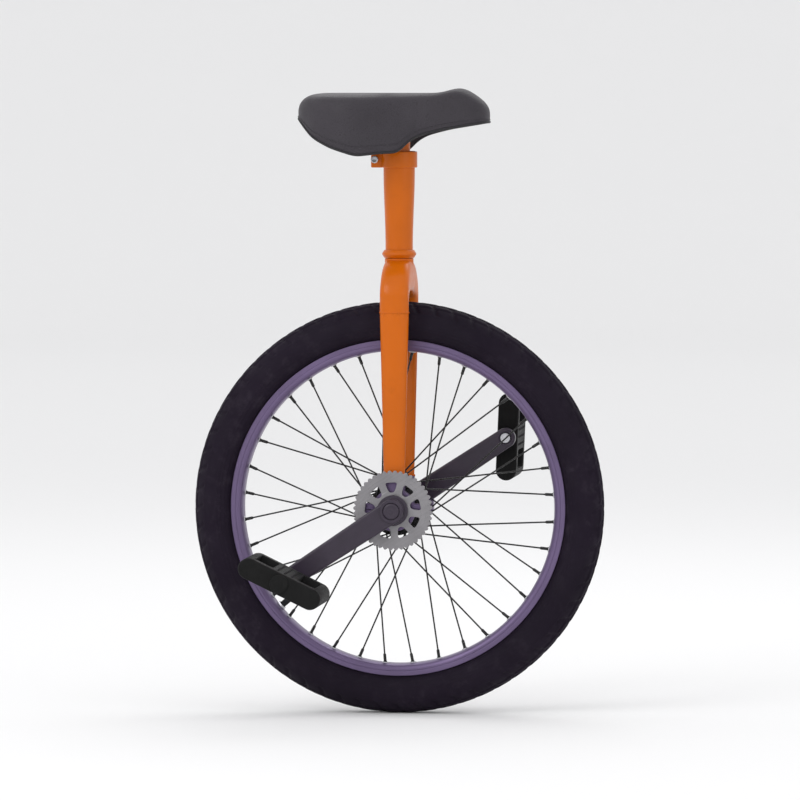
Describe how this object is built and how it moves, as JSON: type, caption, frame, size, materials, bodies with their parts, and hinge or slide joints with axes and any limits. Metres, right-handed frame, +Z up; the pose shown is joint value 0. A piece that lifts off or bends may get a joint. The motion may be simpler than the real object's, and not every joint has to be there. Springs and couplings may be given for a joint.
{
  "type": "unicycle",
  "caption": "Unicycle with a direct-drive spoked wheel, straight fork, toothed disc on one crank, flat pedals and a padded saddle on an adjustable post.",
  "frame": {"origin": "where the tyre meets the ground, below the axle, on the wheel's middle plane", "axes": "+Z up, +X forward (the saddle's nose), +Y to the rider's left along the axle"},
  "size_m": [0.512, 0.377, 0.7762],
  "materials": {
    "tyre": "dark violet-black moulded rubber",
    "tube_rubber": "matt black butyl",
    "rim_tape": "woven tape",
    "rim_metal": "lilac-grey anodised",
    "spoke_steel": "gloss black",
    "bright_steel": "ground steel",
    "black_steel": "black oxide",
    "crank_paint": "dark purple-grey semi-gloss",
    "disc_steel": "brushed grey",
    "frame_paint": "orange enamel",
    "pedal_plastic": "black moulded, fine grain",
    "base_plastic": "black moulded",
    "saddle_foam": "open-cell foam",
    "saddle_vinyl": "grained grey vinyl"
  },
  "bodies": {
    "frame": {"fork_crown": "frame_paint", "fork_leg_right": "frame_paint", "fork_leg_left": "frame_paint", "collar_ring": "frame_paint", "neck_tube": "frame_paint", "bearing_housing_upper_right": "rim_metal", "bearing_housing_lower_right": "rim_metal", "bearing_housing_upper_left": "rim_metal", "bearing_housing_lower_left": "rim_metal", "bearing_outer_ring_right": "bright_steel", "bearing_outer_ring_left": "bright_steel", "housing_bolt_rear_right": "black_steel", "housing_bolt_front_right": "black_steel", "housing_bolt_rear_left": "black_steel", "housing_bolt_front_left": "black_steel", "seat_clamp": "frame_paint", "clamp_bolt": "bright_steel", "clamp_nut": "bright_steel"},
    "wheel": {"tyre": "tyre", "inner_tube": "tube_rubber", "valve": "tube_rubber", "rim_tape": "rim_tape", "rim": "rim_metal", "spokes_right": "spoke_steel", "spokes_left": "spoke_steel", "hub_shell": "spoke_steel", "hub_axle": "bright_steel", "axle_spacer_right": "bright_steel", "axle_spacer_left": "bright_steel", "bearing_inner_ring_right": "bright_steel", "bearing_inner_ring_left": "bright_steel", "crank_right": "crank_paint", "crank_left": "crank_paint", "crank_bolt_right": "black_steel", "crank_bolt_left": "black_steel", "crank_cap_right": "crank_paint", "crank_cap_left": "crank_paint", "toothed_disc": "disc_steel", "disc_lock_ring": "black_steel", "pedal_spindle_right": "bright_steel", "pedal_spindle_left": "bright_steel", "pedal_nut_right": "bright_steel", "pedal_nut_left": "bright_steel"},
    "pedal_right": {"pedal_body_right": "pedal_plastic", "pedal_bush_inner_right": "bright_steel", "pedal_bush_outer_right": "bright_steel", "pedal_end_cap_right": "pedal_plastic"},
    "pedal_left": {"pedal_body_left": "pedal_plastic", "pedal_bush_inner_left": "bright_steel", "pedal_bush_outer_left": "bright_steel", "pedal_end_cap_left": "pedal_plastic"},
    "seat_post": {"seat_post": "frame_paint"},
    "saddle": {"post_head_plate": "black_steel", "saddle_base": "base_plastic", "saddle_foam": "saddle_foam", "saddle_cover": "saddle_vinyl", "saddle_bolt_rear_right": "bright_steel", "saddle_bolt_rear_left": "bright_steel", "saddle_bolt_front_right": "bright_steel", "saddle_bolt_front_left": "bright_steel"}
  },
  "joints": [
    {"name": "wheel_spin", "type": "hinge", "parent": "frame", "child": "wheel", "pos_m": [0, 0, 0.256], "axis": [0, 1, 0], "continuous": true},
    {"name": "right_pedal_spin", "type": "hinge", "parent": "wheel", "child": "pedal_right", "pos_m": [-0.12508, -0.14, 0.17321], "axis": [0, 1, 0], "continuous": true},
    {"name": "left_pedal_spin", "type": "hinge", "parent": "wheel", "child": "pedal_left", "pos_m": [0.12508, 0.14, 0.33879], "axis": [0, 1, 0], "continuous": true},
    {"name": "seat_height", "type": "slide", "parent": "frame", "child": "seat_post", "axis": [0, 0, 1], "range_m": [0, 0.045]},
    {"name": "seat_turn", "type": "hinge", "parent": "seat_post", "child": "saddle", "pos_m": [0, 0, 0.716], "axis": [0, 0, 1], "continuous": true}
  ]
}
